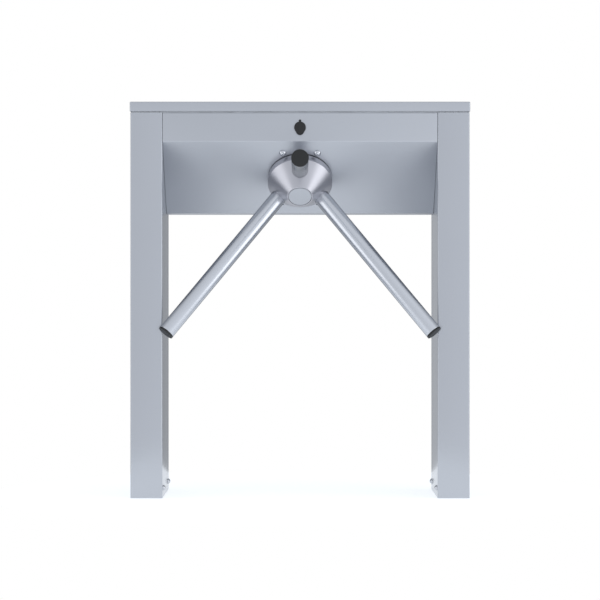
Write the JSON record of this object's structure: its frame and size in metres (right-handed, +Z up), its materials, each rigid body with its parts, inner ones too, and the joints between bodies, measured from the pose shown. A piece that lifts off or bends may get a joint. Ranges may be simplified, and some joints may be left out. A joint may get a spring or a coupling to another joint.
{
  "type": "tripod turnstile",
  "caption": "Waist-high tripod turnstile: slim satin steel portal with a hinged lid and a sloped front that carries a turning hub with slanted tube arms.",
  "frame": {"origin": "on the floor midway between the two legs, at the centre of the four floor anchors", "axes": "+X across the passage side to side along the cabinet, -Y out of the front where the barring arm reaches, +Z up"},
  "size_m": [0.8586, 0.7306, 1],
  "materials": {
    "satin_steel": "satin ground stainless sheet",
    "polished_steel": "polished stainless tube and turned parts",
    "zinc_steel": "bright zinc plated fasteners and pins",
    "plate_steel": "grey painted plate",
    "ground_steel": "ground gear and bearing steel",
    "black_plastic": "black moulded plastic",
    "seal_rubber": "black rubber",
    "seal_silicone": "grey silicone rubber",
    "lock_brass": "turned brass",
    "board_green": "lacquered circuit board",
    "coil_red": "painted solenoid yoke with taped winding"
  },
  "bodies": {
    "housing": {"leg_left": "satin_steel", "leg_right": "satin_steel", "floor_brackets": "plate_steel", "foot_bolts": "polished_steel", "front_panel": "satin_steel", "back_panel": "satin_steel", "end_plates": "plate_steel", "leg_joint_bolts": "zinc_steel", "leg_grommets": "seal_rubber", "lid_seal": "seal_silicone", "hinge_leaves_fixed": "zinc_steel", "hinge_pins": "zinc_steel", "lock_barrel": "zinc_steel", "lock_nut": "zinc_steel", "cover_rivet": "black_plastic", "mechanism_front_plate": "plate_steel", "mechanism_rear_plate": "plate_steel", "frame_pillars": "zinc_steel", "flange_bolts": "polished_steel", "bearing_housings": "plate_steel", "bearing_outer_rings": "ground_steel", "solenoids": "coil_red", "return_springs": "zinc_steel", "pawl_pins": "zinc_steel", "index_studs": "zinc_steel", "index_spring": "zinc_steel", "damper_body": "black_plastic", "position_sensors": "black_plastic", "control_board": "board_green", "board_components": "black_plastic", "power_supply": "zinc_steel"},
    "rotor": {"shaft": "ground_steel", "shaft_keys": "ground_steel", "hub": "satin_steel", "hub_nose_disc": "polished_steel", "arm_front": "polished_steel", "arm_left": "polished_steel", "arm_right": "polished_steel", "arm_caps": "black_plastic", "arm_bolts": "zinc_steel", "hub_bolt": "zinc_steel", "main_gear": "ground_steel", "lock_wheel": "ground_steel", "sensor_disc": "black_plastic", "shaft_spacers": "ground_steel", "shaft_nut": "zinc_steel", "bearing_inner_rings": "ground_steel"},
    "ball_cages": {"bearing_balls": "ground_steel"},
    "damper_drive": {"damper_pinion": "ground_steel"},
    "index_crank": {"index_gear": "ground_steel"},
    "entry_lock": {"entry_pawl": "ground_steel"},
    "exit_lock": {"exit_pawl": "ground_steel"},
    "entry_solenoid_core": {"entry_plunger": "zinc_steel"},
    "exit_solenoid_core": {"exit_plunger": "zinc_steel"},
    "lid": {"lid": "satin_steel", "lid_catch": "zinc_steel", "hinge_leaves_lid": "zinc_steel"},
    "key_lock": {"lock_plug": "lock_brass", "lock_cam": "zinc_steel"},
    "keyhole_flap": {"keyhole_cover": "black_plastic"}
  },
  "joints": [
    {"name": "rotor_spin", "type": "hinge", "parent": "housing", "child": "rotor", "pos_m": [0, -0.04982, 0.81232], "axis": [0, -0.7071, -0.7071], "continuous": true},
    {"name": "ball_cage_spin", "type": "hinge", "parent": "housing", "child": "ball_cages", "pos_m": [0, -0.04982, 0.81232], "axis": [0, -0.7071, -0.7071], "continuous": true},
    {"name": "damper_spin", "type": "hinge", "parent": "housing", "child": "damper_drive", "pos_m": [0.08, -0.04982, 0.81232], "axis": [0, -0.7071, -0.7071], "continuous": true},
    {"name": "index_spin", "type": "hinge", "parent": "housing", "child": "index_crank", "pos_m": [-0.08, -0.04982, 0.81232], "axis": [0, -0.7071, -0.7071], "continuous": true, "deforming": ["index_spring"]},
    {"name": "entry_pawl_swing", "type": "hinge", "parent": "housing", "child": "entry_lock", "pos_m": [-0.045, -0.0979, 0.8604], "axis": [0, -0.7071, -0.7071], "range_deg": [-12, 0], "stiffness_Nm_per_rad": 0.3, "springref_deg": 11.46, "deforming": ["return_springs"]},
    {"name": "entry_plunger_slide", "type": "slide", "parent": "housing", "child": "entry_solenoid_core", "axis": [1, 0, 0], "range_m": [0, 0.0053]},
    {"name": "exit_pawl_swing", "type": "hinge", "parent": "housing", "child": "exit_lock", "pos_m": [0.045, -0.00174, 0.76424], "axis": [0, -0.7071, -0.7071], "range_deg": [-12, 0], "stiffness_Nm_per_rad": 0.3, "springref_deg": 11.46},
    {"name": "exit_plunger_slide", "type": "slide", "parent": "housing", "child": "exit_solenoid_core", "axis": [-1, 0, 0], "range_m": [0, 0.0053]},
    {"name": "lid_open", "type": "hinge", "parent": "housing", "child": "lid", "pos_m": [0, 0.1433, 0.97425], "axis": [-1, 0, 0], "range_deg": [0, 95]},
    {"name": "key_turn", "type": "hinge", "parent": "housing", "child": "key_lock", "pos_m": [0, -0.1375, 0.935], "axis": [0, 1, 0], "range_deg": [0, 90]},
    {"name": "keyhole_cover_swing", "type": "hinge", "parent": "housing", "child": "keyhole_flap", "pos_m": [0, -0.1398, 0.9515], "axis": [0, 1, 0], "range_deg": [-110, 110]}
  ],
  "couplings": [
    {"joint": "ball_cage_spin", "follows": "rotor_spin", "ratio": 0.3967},
    {"joint": "damper_spin", "follows": "rotor_spin", "ratio": -3},
    {"joint": "index_spin", "follows": "rotor_spin", "ratio": -3},
    {"joint": "entry_plunger_slide", "follows": "entry_pawl_swing", "m_per_rad": -0.025},
    {"joint": "exit_plunger_slide", "follows": "exit_pawl_swing", "m_per_rad": -0.025}
  ]
}
